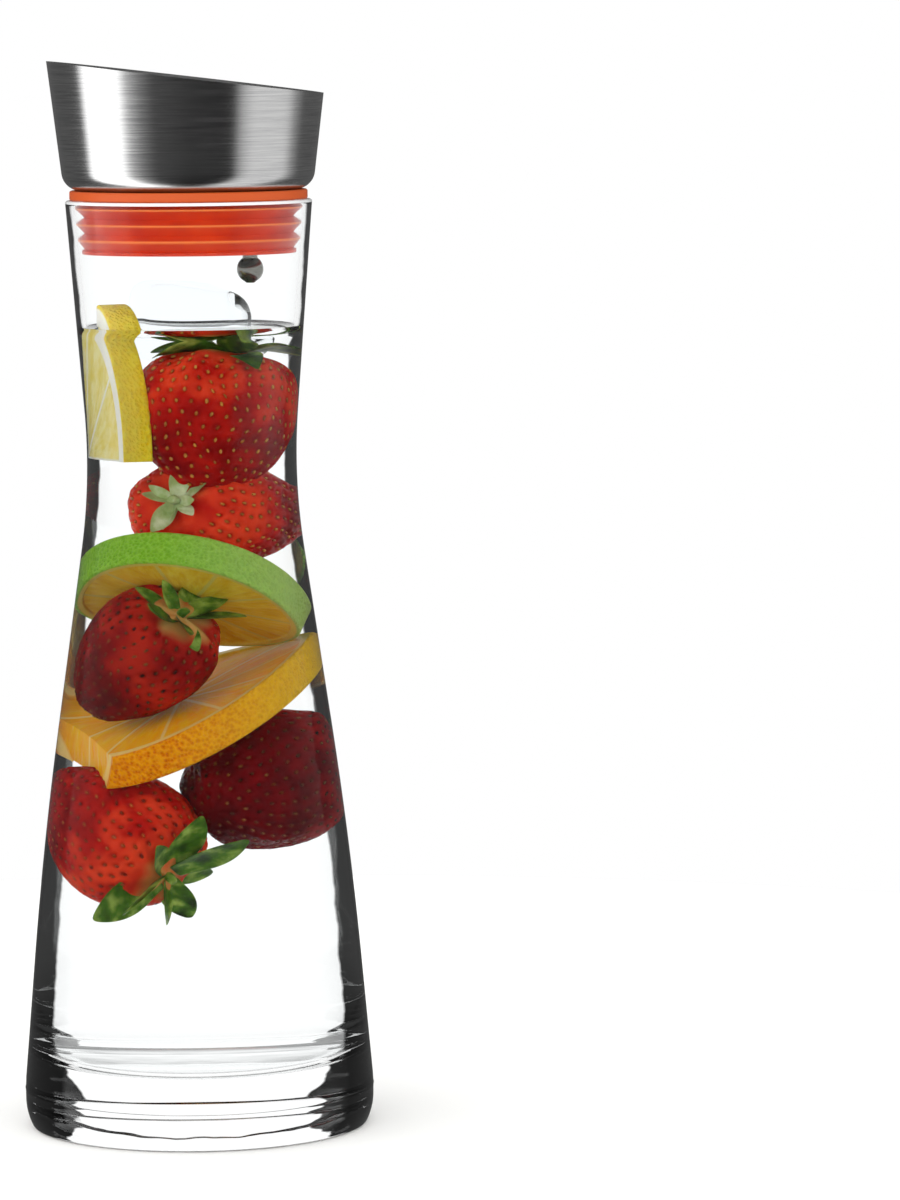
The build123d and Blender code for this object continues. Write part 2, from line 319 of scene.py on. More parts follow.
def painted_highlight_rim_glass():
    """Rim melted round in a flame, made milky as a painted highlight that stands for the light running up
    inside the wall and gathering there.
    """
    return surface(
        "painted_highlight_rim_glass", base_color=colour("#F6F8F8"), roughness=0.15, ior=1.5, transmission_weight=0.35
    )[0]


def still_water():
    """Still water: clear, with a smooth top that mirrors at a low angle, and little gloss against glass."""
    return surface(
        "still_water", base_color=colour("#FFFFFF"), roughness=0.0, ior=1.333, transmission_weight=1.0,
        specular_tint=colour("#404040"),
    )[0]


def clear_ice():
    """Clear ice: glassy, a little cloudy where it has begun to melt. Seen in water it hardly bends light."""
    return surface(
        "clear_ice", base_color=colour("#FAFDFF"), roughness=0.03, ior=1.06, transmission_weight=1.0
    )[0]


def orange_silicone():
    """Moulded food-grade silicone: satin and slightly see-through, so its thin ribs glow a little, with a
    painted highlight along their edges.
    """
    material, tree, shader = surface(
        "orange_silicone", roughness=0.42, ior=1.41,
        subsurface_weight=0.12, subsurface_scale=1 * MM, subsurface_radius=(1.0, 0.35, 0.12),
    )
    place = add(tree, "ShaderNodeTexCoord").outputs["Object"]
    cloud = add(tree, "ShaderNodeTexNoise", {"Vector": place, "Scale": 1 / (9 * MM), "Detail": 2.0})
    shade = add(
        tree, "ShaderNodeValToRGB", {"Fac": cloud.outputs["Fac"]},
        stops=((0.3, colour("#CA2A02")), (0.7, colour("#DE3E08"))),
    ).outputs["Color"]
    # Painted highlight: paler along the ribs' edges, where they are thin and press on the glass
    parts = add(tree, "ShaderNodeSeparateXYZ", {"Vector": place}).outputs
    flat = add(tree, "ShaderNodeCombineXYZ", {"X": parts["X"], "Y": parts["Y"]}).outputs["Vector"]
    out = add(tree, "ShaderNodeVectorMath", {0: flat}, operation="LENGTH").outputs["Value"]
    bore = add(
        tree, "ShaderNodeMapRange",
        {"Value": parts["Z"], "From Min": INNER[2][1] * MM, "From Max": INNER[3][1] * MM,
         "To Min": INNER[2][0] * MM, "To Max": INNER[3][0] * MM},
        clamp=False,
    ).outputs["Result"]
    gap = add(tree, "ShaderNodeMath", {0: bore, 1: out}, operation="SUBTRACT").outputs[0]
    painted_rib_highlight = add(
        tree, "ShaderNodeMapRange", {"Value": gap, "From Min": 0.6 * MM, "From Max": 0.3 * MM}
    ).outputs["Result"]
    shade = add(
        tree, "ShaderNodeMix", {"Factor": painted_rib_highlight, 6: shade, 7: colour("#F07A30")}, data_type="RGBA"
    ).outputs[2]
    # The flange is thicker than the ribs, and coloured a duller, browner orange
    flange = add(
        tree, "ShaderNodeMath", {0: parts["Z"], 1: RIM_HEIGHT * MM}, operation="GREATER_THAN"
    ).outputs[0]
    shade = add(
        tree, "ShaderNodeMix", {"Factor": flange, 6: shade, 7: colour("#B4480E")}, data_type="RGBA"
    ).outputs[2]
    tree.links.new(shade, shader.inputs["Base Color"])
    skin = add(tree, "ShaderNodeTexNoise", {"Vector": place, "Scale": 1 / (0.6 * MM), "Detail": 2.0})
    bump = add(
        tree, "ShaderNodeBump",
        {"Height": skin.outputs["Fac"], "Strength": 0.15, "Distance": 0.05 * MM},
    )
    tree.links.new(bump.outputs["Normal"], shader.inputs["Normal"])
    return material


def brushed_steel(name, line_mm, strength, turning):
    """Brushed stainless steel: fine lines, round the axis or straight across, that draw highlights out."""
    material, tree, shader = surface(name, metallic=1.0, anisotropic=0.5, anisotropic_rotation=0.25)
    place = add(tree, "ShaderNodeTexCoord").outputs["Object"]
    if turning:
        # Unrolled at the collar's middle radius, so that every line runs round the collar
        parts = add(tree, "ShaderNodeSeparateXYZ", {"Vector": place}).outputs
        angle = add(tree, "ShaderNodeMath", {0: parts["Y"], 1: parts["X"]}, operation="ARCTAN2").outputs[0]
        along = add(tree, "ShaderNodeMath", {0: angle, 1: 38 * MM}, operation="MULTIPLY").outputs[0]
        place = add(tree, "ShaderNodeCombineXYZ", {"X": along, "Z": parts["Z"]}).outputs["Vector"]
        tangent = add(tree, "ShaderNodeTangent", direction_type="RADIAL", axis="Z")
        tree.links.new(tangent.outputs["Tangent"], shader.inputs["Tangent"])
    # The lines are drawn coarser than real brushing so that they show at this size
    drawn_out = (0.02, 1.0, 1.0)
    stretched = add(tree, "ShaderNodeMapping", {"Vector": place, "Scale": drawn_out}).outputs["Vector"]
    lines = add(
        tree, "ShaderNodeTexNoise",
        {"Vector": stretched, "Scale": 1 / (line_mm * MM), "Detail": 4.0, "Roughness": 0.7},
    ).outputs["Fac"]
    shade = add(
        tree, "ShaderNodeValToRGB", {"Fac": lines},
        stops=((0.3, colour("#A9A9AA")), (0.7, colour("#D6D6D5"))),
    ).outputs["Color"]
    tree.links.new(shade, shader.inputs["Base Color"])
    rough = add(
        tree, "ShaderNodeMapRange",
        {"Value": lines, "From Min": 0.3, "From Max": 0.7, "To Min": 0.17, "To Max": 0.26},
    )
    tree.links.new(rough.outputs["Result"], shader.inputs["Roughness"])
    bump = add(tree, "ShaderNodeBump", {"Height": lines, "Strength": strength, "Distance": 0.02 * MM})
    tree.links.new(bump.outputs["Normal"], shader.inputs["Normal"])
    return material


def turned_steel(name, hex_code):
    """Turned and polished steel: a mirror softened by faint tool marks."""
    material, tree, shader = surface(name, metallic=1.0, base_color=colour(hex_code))
    place = add(tree, "ShaderNodeTexCoord").outputs["Object"]
    marks = add(tree, "ShaderNodeTexNoise", {"Vector": place, "Scale": 1 / (0.8 * MM), "Detail": 3.0})
    rough = add(
        tree, "ShaderNodeMapRange", {"Value": marks.outputs["Fac"], "To Min": 0.1, "To Max": 0.26}
    )
    tree.links.new(rough.outputs["Result"], shader.inputs["Roughness"])
    return material


def moulded_plastic():
    """Injection-moulded white polypropylene: matt, with a fine spark-eroded grain."""
    material, tree, shader = surface("white_polypropylene", roughness=0.48, ior=1.49)
    place = add(tree, "ShaderNodeTexCoord").outputs["Object"]
    grain = add(tree, "ShaderNodeTexNoise", {"Vector": place, "Scale": 1 / (0.5 * MM), "Detail": 2.0})
    shade = add(
        tree, "ShaderNodeValToRGB", {"Fac": grain.outputs["Fac"]},
        stops=((0.3, colour("#DEDEDB")), (0.7, colour("#EAEAE7"))),
    ).outputs["Color"]
    tree.links.new(shade, shader.inputs["Base Color"])
    bump = add(
        tree, "ShaderNodeBump",
        {"Height": grain.outputs["Fac"], "Strength": 0.2, "Distance": 0.03 * MM},
    )
    tree.links.new(bump.outputs["Normal"], shader.inputs["Normal"])
    return material


def strawberry_skin(name, at, turn, length, reds):
    """Ripe strawberry skin: red flesh, paler under the leaves, blotched as it ripens and lighter toward the
    leaves, partly as painted light, with painted shade in its pits, dull in water.
    """
    material, tree, shader = surface(
        name, roughness=0.25, ior=1.08,
        subsurface_weight=0.2, subsurface_scale=3 * MM, subsurface_radius=(1.0, 0.25, 0.15),
    )
    place = add(tree, "ShaderNodeTexCoord").outputs["Object"]
    own = add(
        tree, "ShaderNodeMapping",
        {"Vector": place, "Location": [c * MM for c in at], "Rotation": [math.radians(a) for a in turn]},
        vector_type="TEXTURE",
    ).outputs["Vector"]
    height = add(tree, "ShaderNodeSeparateXYZ", {"Vector": own}).outputs["Z"]
    blotch = add(tree, "ShaderNodeTexNoise", {"Vector": own, "Scale": 1 / (11 * MM), "Detail": 3.0})
    # Lighter toward the leaves and darker toward the tip: partly how a strawberry ripens, partly painted
    # light and shade
    painted_light_toward_leaves = add(
        tree, "ShaderNodeMath", {0: height, 1: 0.4 / (length * MM)}, operation="MULTIPLY"
    ).outputs[0]
    ripeness_and_painted_light = add(
        tree, "ShaderNodeMath", {0: blotch.outputs["Fac"], 1: painted_light_toward_leaves}, operation="ADD"
    ).outputs[0]
    red = add(
        tree, "ShaderNodeValToRGB", {"Fac": ripeness_and_painted_light},
        stops=[(stop, colour(code)) for stop, code in zip((0.3, 0.52, 0.72), reds)],
    ).outputs["Color"]
    pale = add(
        tree, "ShaderNodeMapRange",
        {"Value": height, "From Min": 0.475 * length * MM, "From Max": 0.53 * length * MM},
        interpolation_type="SMOOTHSTEP",
    ).outputs["Result"]
    mixed = add(
        tree, "ShaderNodeMix", {"Factor": pale, 6: red, 7: colour("#C9A45A")}, data_type="RGBA"
    ).outputs[2]
    # Painted shade: darker down in the pits round the seeds, found from the mesh's hollows
    hollow = add(tree, "ShaderNodeNewGeometry").outputs["Pointiness"]
    pit = add(
        tree, "ShaderNodeMapRange", {"Value": hollow, "From Min": 0.495, "From Max": 0.43, "To Max": 0.85}
    ).outputs["Result"]
    mixed = add(
        tree, "ShaderNodeMix", {"Factor": pit, 6: mixed, 7: colour(reds[0])}, data_type="RGBA"
    ).outputs[2]
    tree.links.new(mixed, shader.inputs["Base Color"])
    return material


def seed_skin(name, dark, light):
    """Strawberry seeds: smooth husks, some browner than others."""
    material, tree, shader = surface(name, roughness=0.15, ior=1.3)
    place = add(tree, "ShaderNodeTexCoord").outputs["Object"]
    ripe = add(tree, "ShaderNodeTexNoise", {"Vector": place, "Scale": 1 / (4 * MM)})
    shade = add(
        tree, "ShaderNodeValToRGB", {"Fac": ripe.outputs["Fac"]},
        stops=((0.35, colour(dark)), (0.65, colour(light))),
    ).outputs["Color"]
    tree.links.new(shade, shader.inputs["Base Color"])
    return material


def leaf_skin(name, dark, middle, light):
    """Strawberry leaves: soft satin green, yellower in patches."""
    material, tree, shader = surface(
        name, roughness=0.4, ior=1.2, subsurface_weight=0.15, subsurface_scale=1 * MM
    )
    place = add(tree, "ShaderNodeTexCoord").outputs["Object"]
    patch = add(tree, "ShaderNodeTexNoise", {"Vector": place, "Scale": 1 / (5 * MM), "Detail": 4.0})
    shade = add(
        tree, "ShaderNodeValToRGB", {"Fac": patch.outputs["Fac"]},
        stops=((0.3, colour(dark)), (0.5, colour(middle)), (0.72, colour(light))),
    ).outputs["Color"]
    tree.links.new(shade, shader.inputs["Base Color"])
    return material


def citrus_flesh(
    name, at, turn, stretch, radius, rind, cells, zest, oil_cell, painted_light_colour, pith, dark_pulp, light_pulp
):
    """Cut citrus: pored oily zest with painted light toward the right, pale pith, and pulp in wedges parted
    by thin pale skins, dull in water.
    """
    material, tree, shader = surface(
        name, roughness=0.3, ior=1.08,
        subsurface_weight=0.3, subsurface_scale=4 * MM, subsurface_radius=(1.0, 0.8, 0.35),
    )
    place = add(tree, "ShaderNodeTexCoord").outputs["Object"]
    own = add(
        tree, "ShaderNodeMapping",
        {"Vector": place, "Location": [c * MM for c in at], "Rotation": [math.radians(a) for a in turn],
         "Scale": (stretch[0], stretch[1], 1.0)},
        vector_type="TEXTURE",
    ).outputs["Vector"]
    parts = add(tree, "ShaderNodeSeparateXYZ", {"Vector": own}).outputs
    flat = add(tree, "ShaderNodeCombineXYZ", {"X": parts["X"], "Y": parts["Y"]}).outputs["Vector"]
    out = add(tree, "ShaderNodeVectorMath", {0: flat}, operation="LENGTH").outputs["Value"]
    angle = add(tree, "ShaderNodeMath", {0: parts["Y"], 1: parts["X"]}, operation="ARCTAN2").outputs[0]
    # Wedges: distance from the nearest skin between two of them, measured round the slice
    turns = add(tree, "ShaderNodeMath", {0: angle, 1: cells / math.tau}, operation="MULTIPLY").outputs[0]
    wedge = add(tree, "ShaderNodeMath", {0: turns, 1: 0.5}, operation="PINGPONG").outputs[0]
    skin = add(tree, "ShaderNodeMath", {0: wedge, 1: out}, operation="MULTIPLY").outputs[0]
    skin_width = 0.5 * MM * cells / math.tau
    inside = add(
        tree, "ShaderNodeMapRange",
        {"Value": skin, "From Min": 0.5 * skin_width, "From Max": 1.6 * skin_width},
        interpolation_type="SMOOTHSTEP",
    ).outputs["Result"]
    # Juice sacs run outwards from the middle
    sacs = add(tree, "ShaderNodeCombineXYZ", {"X": out, "Y": turns, "Z": parts["Z"]}).outputs["Vector"]
    squeezed = add(tree, "ShaderNodeMapping", {"Vector": sacs, "Scale": (1 / (7 * MM), 5.0, 1 / (9 * MM))})
    sac = add(
        tree, "ShaderNodeTexNoise",
        {"Vector": squeezed.outputs["Vector"], "Scale": 1.0, "Detail": 3.0, "Roughness": 0.6},
    ).outputs["Fac"]
    pulp = add(
        tree, "ShaderNodeValToRGB", {"Fac": sac},
        stops=((0.32, colour(dark_pulp)), (0.68, colour(light_pulp))),
    ).outputs["Color"]
    # Pith between the wedges, in the core and round the pulp
    pale = colour(pith)
    wet = add(tree, "ShaderNodeMix", {"Factor": inside, 6: pale, 7: pulp}, data_type="RGBA").outputs[2]
    core = add(
        tree, "ShaderNodeMapRange", {"Value": out, "From Min": 1.2 * MM, "From Max": 2.4 * MM}
    ).outputs["Result"]
    wet = add(tree, "ShaderNodeMix", {"Factor": core, 6: pale, 7: wet}, data_type="RGBA").outputs[2]
    edge = (radius - rind) * MM
    outer = add(
        tree, "ShaderNodeMapRange",
        {"Value": out, "From Min": edge - 0.5 * MM, "From Max": edge + 0.3 * MM},
    ).outputs["Result"]
    wet = add(tree, "ShaderNodeMix", {"Factor": outer, 6: wet, 7: pale}, data_type="RGBA").outputs[2]
    # Zest, brighter between its pores, with painted light: yellower and lighter toward the right
    peel = add(
        tree, "ShaderNodeMapRange",
        {"Value": out, "From Min": (radius - 1.3) * MM, "From Max": (radius - 0.7) * MM},
    ).outputs["Result"]
    pores = add(tree, "ShaderNodeTexVoronoi", {"Vector": place, "Scale": 1 / (1.1 * MM)}).outputs["Distance"]
    oil = add(
        tree, "ShaderNodeMapRange", {"Value": pores, "From Min": 0.15, "From Max": 0.7}
    ).outputs["Result"]
    ripe = add(
        tree, "ShaderNodeMix", {"Factor": oil, 6: colour(zest), 7: colour(oil_cell)}, data_type="RGBA"
    ).outputs[2]
    across = add(tree, "ShaderNodeSeparateXYZ", {"Vector": place}).outputs["X"]
    painted_light_mask = add(
        tree, "ShaderNodeMapRange", {"Value": across, "From Min": -8 * MM, "From Max": 36 * MM, "To Max": 0.8}
    ).outputs["Result"]
    ripe = add(tree, "ShaderNodeMix", {"Factor": painted_light_mask, 6: ripe, 7: colour(painted_light_colour)}, data_type="RGBA").outputs[2]
    all_over = add(tree, "ShaderNodeMix", {"Factor": peel, 6: wet, 7: ripe}, data_type="RGBA").outputs[2]
    tree.links.new(all_over, shader.inputs["Base Color"])
    relief = add(tree, "ShaderNodeMix", {"Factor": peel, 2: sac, 3: pores}, data_type="FLOAT").outputs[0]
    bump = add(tree, "ShaderNodeBump", {"Height": relief, "Strength": 1.0, "Distance": 0.6 * MM})
    tree.links.new(bump.outputs["Normal"], shader.inputs["Normal"])
    return material


# Glass and water

def glass_body():
    """The carafe turned finer than the CAD mesh, so that light bends smoothly through it."""
    sphere = (PUNT**2 + PUNT_DEPTH**2) / (2 * PUNT_DEPTH)
    half = math.degrees(math.asin(PUNT / sphere))
    outline = arc((0, PUNT_DEPTH - sphere), sphere, 90, 90 - half, 10)
    # The flat ring that it stands on, with a broken edge, and the round up to the band
    outline += [(FOOT_FLAT - 0.6, 0.0), (FOOT_FLAT - 0.15, 0.1)]
    band = FOOT - 0.15
    outline += arc((band - FOOT_CURVE, FOOT_ROUND), FOOT_CURVE, -26.5, 0, 10)
    # The mould's parting line: a faint ridge where the upright band ends
    ridge = ((0.12, -0.7), (0.0, -0.1), (0.14, 0.5))
    outline += [(FOOT - inwards, BAND_TOP + up) for inwards, up in ridge]
    outline += wall_points(OUTER, BAND_TOP + 3, RIM_HEIGHT - RIM_ROUND)
    rim_out, rim_in = OUTER[-1][0], INNER[-1][0]
    outline += arc((rim_out - RIM_ROUND, RIM_HEIGHT - RIM_ROUND), RIM_ROUND, 15, 90, 6)
    outline += arc((rim_in + RIM_ROUND, RIM_HEIGHT - RIM_ROUND), RIM_ROUND, 90, 165, 6)
    outline += wall_points(INNER, FLOOR + FLOOR_ROUND, RIM_HEIGHT - RIM_ROUND - 0.5)[::-1]
    outline += arc((INNER[0][0] - FLOOR_ROUND, FLOOR + FLOOR_ROUND), FLOOR_ROUND, -6, -90, 14)
    outline += [(20.0, FLOOR), (0.0, FLOOR)]
    outline[0] = (0.0, outline[0][1])
    piece = turned("blown_glass", outline)
    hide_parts("glass_carafe")
    return piece


def dress_glass(piece):
    """Clear walls, wetted below the water line, with a rim made milky as a painted highlight and a rippled
    foot.
    """
    dress(piece, soda_lime_glass("soda_lime_glass", "#808080", wave=38, depth=0.35))
    # Wet glass hardly mirrors
    piece.data.materials.append(soda_lime_glass("wetted_soda_lime_glass", "#404040", wave=38, depth=0.35))
    # Painted highlight: the rim's glass is made milky
    piece.data.materials.append(painted_highlight_rim_glass())
    # The foot meets the cold mould first, which leaves chill ripples that break up what shows through it
    rippled = soda_lime_glass("chill_rippled_soda_lime_glass", "#808080", wave=10, depth=0.6)
    piece.data.materials.append(rippled)
    walls, wetted, rim, foot = range(4)
    for face in piece.data.polygons:
        x, y, z = face.center / MM
        inside = face.normal.x * x + face.normal.y * y < 0
        on_floor = face.normal.z > 0.5 and z < FLOOR + FLOOR_ROUND
        in_water = FLOOR - 0.1 < z < WATER_LEVEL + MENISCUS
        face.material_index = wetted if (inside or on_floor) and in_water else walls
        if z > RIM_HEIGHT - RIM_ROUND:
            face.material_index = rim
        if z < FOOT_ROUND:
            face.material_index = foot


def water_body():
    """Water to its level, creeping up the glass at the edge."""
    lap = WATER_LAP
    outline = [(0.0, FLOOR - lap), (20.0, FLOOR - lap)]
    middle = (INNER[0][0] - FLOOR_ROUND, FLOOR + FLOOR_ROUND)
    outline += arc(middle, FLOOR_ROUND + lap, -90, -6, 14)
    wall = wall_points(INNER, FLOOR + FLOOR_ROUND, WATER_LEVEL + MENISCUS)
    outline += [(r + lap, z) for r, z in wall]
    edge = wall[-1][0]
    for i in range(1, 9):
        away = 0.5 * i
        outline.append((edge - away, WATER_LEVEL + MENISCUS * math.exp(-away / MENISCUS_REACH)))
    outline += [(12.0, WATER_LEVEL), (0.0, WATER_LEVEL)]
    return turned("water", outline)


# Strawberries

def berry_radius(t, width):
    """Half width of a strawberry from its leaves (0) to its tip (1)."""
    return 0.5 * width * (1 - t) ** BERRY_TAPER * t ** BERRY_SHOULDER / BERRY_PEAK


def berry_lump(point, seed):
    """Slow bulges, and the drift of the seed rows, that no two strawberries share."""
    x, y, z = (c / (BULGE * MM) for c in point)
    swell = math.sin(1.3 * x + 2.1 * seed) * math.sin(1.1 * y + seed) + 0.6 * math.sin(1.7 * z + 1.7 * seed)
    angle = math.atan2(y, x)
    drift = 0.05 * math.sin(4.3 * z + seed) + 0.035 * math.sin(3 * angle + 5.1 * z)
    rise = 0.045 * math.sin(5 * angle + 2.3 * seed) + 0.03 * math.sin(8 * angle + 4.0 * z)
    moved = Matrix.Rotation(drift, 3, "Z") @ point
    moved.z += rise * BULGE * MM * min(1.0, math.hypot(x, y))
    return moved * (1.0 + 0.045 * swell)


def strawberry(number, at, turn, length, width, leaf_tilt, leaf_droop, leaf_size, reds, seed, leaf):
    """One strawberry: dimpled body, a seed in every dimple, and a ruff of leaves."""
    rows = 112
    steps = [0.5 - 0.5 * math.cos(math.pi * i / rows) for i in range(rows + 1)]
    outline = [(berry_radius(t, width), (0.5 - t) * length) for t in steps]
    outline[0] = (0.0, 0.5 * length)
    outline[-1] = (0.0, -0.5 * length)
    body = turned(f"strawberry_{number}", outline, steps=208)
    # Seeds sit in staggered rings, all in one mesh that starts out empty
    clear_selection()
    bpy.ops.mesh.primitive_ico_sphere_add(subdivisions=1, radius=MM)
    seeds = named(f"strawberry_{number}_seeds")
    edit_all()
    bpy.ops.mesh.delete(type="VERT")
    spots = []
    nudge = 0.01
    t, ring = FIRST_SEEDS, 0
    while t < LAST_SEEDS:
        radius, height = berry_radius(t, width), (0.5 - t) * length
        above, below = berry_radius(t - nudge, width), berry_radius(t + nudge, width)
        slope = math.atan2(below - above, 2 * nudge * length)
        count = max(3, round(math.tau * radius / SEED_PITCH))
        offset = math.pi * (ring % 2) / count
        spots += [(radius, height, offset + math.tau * i / count) for i in range(count)]
        bpy.ops.mesh.primitive_ico_sphere_add(subdivisions=1, radius=MM)
        bpy.ops.transform.resize(value=SEED_HALF_SIZE)
        bpy.ops.transform.rotate(value=slope, orient_axis="Y", center_override=(0, 0, 0))
        bpy.ops.transform.translate(value=((radius - SEED_SUNK) * MM, 0, height * MM))
        bpy.ops.transform.rotate(value=-offset, orient_axis="Z", center_override=(0, 0, 0))
        bpy.ops.mesh.spin(steps=count, dupli=True, angle=math.tau, center=(0, 0, 0), axis=(0, 0, 1))
        bpy.ops.mesh.select_all(action="DESELECT")
        t += SEED_ROW_PITCH / math.hypot(length, (below - radius) / nudge)
        ring += 1
    tidy_mesh()
    bpy.ops.object.shade_smooth()
    dimple(body, spots)
    leaves = ruff(number, leaf_tilt, leaf_droop, leaf_size, 0.5 * length)
    for piece in (body, seeds):
        for vertex in piece.data.vertices:
            vertex.co = berry_lump(vertex.co, number)
    for piece, gap in ((body, CLEARANCE), (seeds, SEED_CLEARANCE), (leaves, LEAF_CLEARANCE)):
        placed(piece, at, turn)
        kept_inside(piece, gap)
        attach(piece, "carafe")
    for vertex in leaves.data.vertices:
        # The water's skin presses a leaf flat
        over = vertex.co.z / MM - (WATER_LEVEL - LEAF_DEPTH)
        vertex.co.z -= 0.85 * max(0.0, over) * MM
    dress(body, strawberry_skin(f"strawberry_skin_{number}", at, turn, length, reds))
    dress(seeds, seed)
    dress(leaves, leaf)


def dimple(body, spots):
    """Presses a small pit into the skin round every seed."""
    nearest = KDTree(len(spots))
    for i, (r, z, a) in enumerate(spots):
        nearest.insert((r * math.cos(a) * MM, r * math.sin(a) * MM, z * MM), i)
    nearest.balance()
    normals = [vertex.normal.copy() for vertex in body.data.vertices]
    for vertex, normal in zip(body.data.vertices, normals):
        away = nearest.find(vertex.co)[2]
        vertex.co -= normal * PIT_DEPTH * math.exp(-(away / (PIT_WIDTH * MM)) ** 2) * MM


def ruff(number, tilt, droop, size, top):
    """The leaves: one drawn out of a small strip by extruding and tapering, then copied round."""
    clear_selection()
    bpy.ops.mesh.primitive_grid_add(x_subdivisions=2, y_subdivisions=1, size=MM)
    leaf = named(f"strawberry_{number}_leaf")
    edit_all()
    bpy.ops.transform.resize(value=(5.4, 1.2, 1.0))
    bpy.ops.transform.translate(value=(0, 2.2 * MM, 0))
    pick_edge(leaf, 2.7)
    for length, widen, rise in LEAF_STRETCHES:
        move = {"value": (0, length * MM, rise * tilt * MM)}
        bpy.ops.mesh.extrude_region_move(TRANSFORM_OT_translate=move)
        bpy.ops.transform.resize(value=(widen, 1, 1))
    bpy.ops.object.mode_set(mode="OBJECT")
    for vertex in leaf.data.vertices:
        # Folded up a little along its middle
        vertex.co.z += 0.25 * abs(vertex.co.x)
    apply_modifier(leaf, "SOLIDIFY", thickness=LEAF_THICKNESS * MM)
    apply_modifier(leaf, "SUBSURF", levels=2, render_levels=2)
    leaves = [leaf]
    while len(leaves) < LEAF_COUNT:
        copy = leaf.copy()
        copy.data = leaf.data.copy()
        bpy.context.collection.objects.link(copy)
        leaves.append(copy)
    for i, piece in enumerate(leaves):
        wobble = math.sin(2.4 * i + number)
        grow = size * (0.9 + 0.2 * math.sin(1.9 * i + 2.3 * number))
        piece.scale = (grow, grow, grow)
        twist = 38 * math.sin(2.9 * i + 1.3 * number)
        placed(piece, (0, 0, 0), (14 * wobble + 6, twist, 360 * i / LEAF_COUNT + 9 * wobble))
    clear_selection()
    bpy.ops.mesh.primitive_cylinder_add(vertices=20, radius=1.3 * MM, depth=2.4 * MM)
    stalk = named(f"strawberry_{number}_stalk")
    pick(stalk, lambda middle, normal: normal.z > 0.9)
    bpy.ops.mesh.extrude_region_move(TRANSFORM_OT_translate={"value": (0.4 * MM, 0.2 * MM, 1.2 * MM)})
    bpy.ops.transform.resize(value=(0.8, 0.8, 1))
    bpy.ops.mesh.inset(thickness=0.4 * MM)
    bpy.ops.object.mode_set(mode="OBJECT")
    placed(stalk, (0, 0, 1))
    whole = joined(f"strawberry_{number}_leaves", leaves + [stalk])
    for vertex in whole.data.vertices:
        # The ends hang over, ever more from the stalk outwards
        reach = max(0.0, math.hypot(vertex.co.x, vertex.co.y) - 6 * MM)
        vertex.co.z -= droop * MM * (reach / (10 * MM)) ** 2
    placed(whole, (0, 0, top - 0.6))
    bpy.ops.object.shade_smooth()
    return whole


def pick_edge(piece, beyond):
    """Selects the points past a distance along the strip, in edit mode."""
    bpy.ops.object.mode_set(mode="OBJECT")
    for vertex in piece.data.vertices:
        vertex.select = vertex.co.y / MM > beyond
    for edge in piece.data.edges:
        edge.select = all(piece.data.vertices[v].select for v in edge.vertices)
    for face in piece.data.polygons:
        face.select = False
    bpy.ops.object.mode_set(mode="EDIT")
    bpy.ops.mesh.select_mode(type="EDGE")


# Citrus slices

def citrus_slice(name, at, turn, stretch, radius, thickness, rind, cuts, material):
    """A slice: a disc with a rounded peel, its pulp a little sunk in the pith, cut straight where asked."""
    clear_selection()
    bpy.ops.mesh.primitive_cylinder_add(vertices=160, radius=radius * MM, depth=thickness * MM)
    piece = named(name)
    pick(piece, lambda middle, normal: abs(normal.z) > 0.9)
    bpy.ops.mesh.bevel(offset=PEEL_ROUND * MM, segments=4, affect="EDGES")
    pick(piece, lambda middle, normal: abs(normal.z) > 0.99 and abs(middle.z) > 0.49 * thickness)
    bpy.ops.mesh.inset(thickness=(rind - PEEL_ROUND) * MM, use_individual=True)
    # The pulp lies a little sunk, in rings
    for depth, width in ((0.5, 0.4), (0.0, 2.0), (0.0, 4.0)):
        bpy.ops.mesh.inset(thickness=width * MM, depth=-depth * MM, use_individual=True)
    for away, facing in cuts:
        bpy.ops.mesh.select_all(action="SELECT")
        through = [away * c * MM for c in facing]
        bpy.ops.mesh.bisect(plane_co=through, plane_no=facing, clear_outer=True, use_fill=True)
    bpy.ops.mesh.select_all(action="SELECT")
    bpy.ops.transform.resize(value=(stretch[0], stretch[1], 1.0), center_override=(0, 0, 0))
    tidy_mesh()
    bpy.ops.object.shade_smooth_by_angle(angle=math.radians(40))
    placed(piece, at, turn)
    kept_inside(piece, CLEARANCE)
    dress(piece, material)
    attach(piece, "carafe")


# Ice

def ice_cube(name, at, turn, size, material):
    """A half-melted cube: bevelled, rounded and uneven."""
    clear_selection()
    bpy.ops.mesh.primitive_cube_add(size=size * MM)
    piece = named(name)
    edit_all()
    bpy.ops.mesh.subdivide(number_cuts=2)
    bpy.ops.transform.resize(value=(1.0, 0.9, 0.64))
    bpy.ops.object.mode_set(mode="OBJECT")
    apply_modifier(piece, "BEVEL", width=0.27 * size * MM, segments=4, limit_method="ANGLE")
    apply_modifier(piece, "SUBSURF", levels=2, render_levels=2)
    for vertex in piece.data.vertices:
        x, y, z = (c / (ICE_WAVE * MM) for c in vertex.co)
        swell = 0.03 * math.sin(2.1 * x + size) * math.sin(1.7 * y)
        vertex.co *= 1 + swell + 0.03 * math.sin(2.6 * z + x)
    bpy.ops.object.shade_smooth()
    placed(piece, at, turn)
    kept_inside(piece, CLEARANCE)
    dress(piece, material)
    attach(piece, "carafe")


# Stage

def paper_floor():
    """White paper under the object, which keeps its shadow. Mirrors and glass show the studio instead."""
    clear_selection()
    bpy.ops.mesh.primitive_circle_add(
        vertices=128, radius=PAPER_RADIUS * MM, fill_type="NGON", location=(0, 0, -PAPER_DROP * MM)
    )
    piece = named("floor")
    dress(piece, surface("white_paper", base_color=colour("#E6E6E4"), roughness=0.9)[0])
    piece.visible_glossy = False
    piece.visible_transmission = False
    return piece


